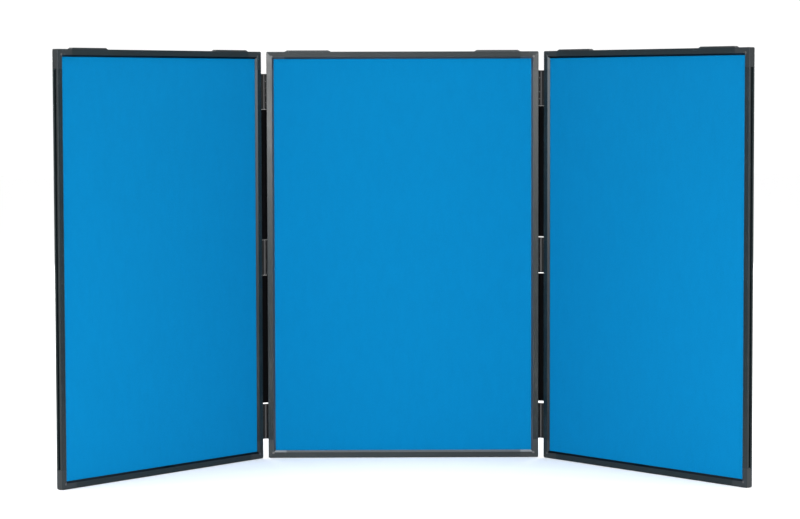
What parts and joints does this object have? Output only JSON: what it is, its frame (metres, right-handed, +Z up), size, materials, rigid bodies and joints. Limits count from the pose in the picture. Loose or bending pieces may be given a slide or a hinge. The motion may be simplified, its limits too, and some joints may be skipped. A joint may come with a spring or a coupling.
{
  "type": "folding display wall",
  "caption": "Free-standing folding display wall: framed fabric-faced panels joined by double-axis hinges, with gap strips and raised header strips on top.",
  "frame": {"origin": "bottom centre of the whole wall's box as it stands, wings folded forward", "axes": "+X to the wall's right seen from the back (left wing on -X), -Y towards the viewer in front, +Z up"},
  "size_m": [1.4244, 0.4768, 0.903],
  "materials": {
    "frame_aluminium": "satin dark grey powder coat",
    "corner_plastic": "moulded, satin",
    "screw_steel": "zinc plated",
    "board_core": "fibre board",
    "loop_fabric": "brushed loop nylon",
    "header_plastic": "moulded, satin",
    "hinge_plastic": "moulded, satin",
    "pin_steel": "plain",
    "gap_vinyl": "matt black vinyl"
  },
  "bodies": {
    "center": {"center_left_rail": "frame_aluminium", "center_right_rail": "frame_aluminium", "center_bottom_rail": "frame_aluminium", "center_top_rail": "frame_aluminium", "center_bottom_left_corner": "corner_plastic", "center_bottom_right_corner": "corner_plastic", "center_top_left_corner": "corner_plastic", "center_top_right_corner": "corner_plastic", "center_corner_screws": "screw_steel", "center_board": "board_core", "center_front_fabric": "loop_fabric", "center_back_fabric": "loop_fabric", "center_left_header_strip": "header_plastic", "center_right_header_strip": "header_plastic", "left_inner_hinge_leaves": "hinge_plastic", "right_inner_hinge_leaves": "hinge_plastic"},
    "left_links": {"left_bottom_hinge_link": "hinge_plastic", "left_middle_hinge_link": "hinge_plastic", "left_top_hinge_link": "hinge_plastic", "left_hinge_pins": "pin_steel", "left_lower_gap_strip": "gap_vinyl", "left_upper_gap_strip": "gap_vinyl"},
    "left_wing": {"left_left_rail": "frame_aluminium", "left_right_rail": "frame_aluminium", "left_bottom_rail": "frame_aluminium", "left_top_rail": "frame_aluminium", "left_bottom_left_corner": "corner_plastic", "left_bottom_right_corner": "corner_plastic", "left_top_left_corner": "corner_plastic", "left_top_right_corner": "corner_plastic", "left_corner_screws": "screw_steel", "left_board": "board_core", "left_front_fabric": "loop_fabric", "left_back_fabric": "loop_fabric", "left_left_header_strip": "header_plastic", "left_right_header_strip": "header_plastic", "left_outer_hinge_leaves": "hinge_plastic"},
    "right_links": {"right_bottom_hinge_link": "hinge_plastic", "right_middle_hinge_link": "hinge_plastic", "right_top_hinge_link": "hinge_plastic", "right_hinge_pins": "pin_steel", "right_lower_gap_strip": "gap_vinyl", "right_upper_gap_strip": "gap_vinyl"},
    "right_wing": {"right_left_rail": "frame_aluminium", "right_right_rail": "frame_aluminium", "right_bottom_rail": "frame_aluminium", "right_top_rail": "frame_aluminium", "right_bottom_left_corner": "corner_plastic", "right_bottom_right_corner": "corner_plastic", "right_top_left_corner": "corner_plastic", "right_top_right_corner": "corner_plastic", "right_corner_screws": "screw_steel", "right_board": "board_core", "right_front_fabric": "loop_fabric", "right_back_fabric": "loop_fabric", "right_left_header_strip": "header_plastic", "right_right_header_strip": "header_plastic", "right_outer_hinge_leaves": "hinge_plastic"}
  },
  "joints": [
    {"name": "left_inner_hinge", "type": "hinge", "parent": "center", "child": "left_links", "pos_m": [-0.3012, 0.2304, 0.45], "axis": [0, 0, 1], "range_deg": [-69.75, 65.25]},
    {"name": "left_outer_hinge", "type": "hinge", "parent": "left_links", "child": "left_wing", "pos_m": [-0.31609, 0.22354, 0.45], "axis": [0, 0, 1], "range_deg": [-69.75, 65.25]},
    {"name": "right_inner_hinge", "type": "hinge", "parent": "center", "child": "right_links", "pos_m": [0.3012, 0.2304, 0.45], "axis": [0, 0, -1], "range_deg": [-114.75, 20.25]},
    {"name": "right_outer_hinge", "type": "hinge", "parent": "right_links", "child": "right_wing", "pos_m": [0.31609, 0.22354, 0.45], "axis": [0, 0, -1], "range_deg": [-114.75, 20.25]}
  ]
}
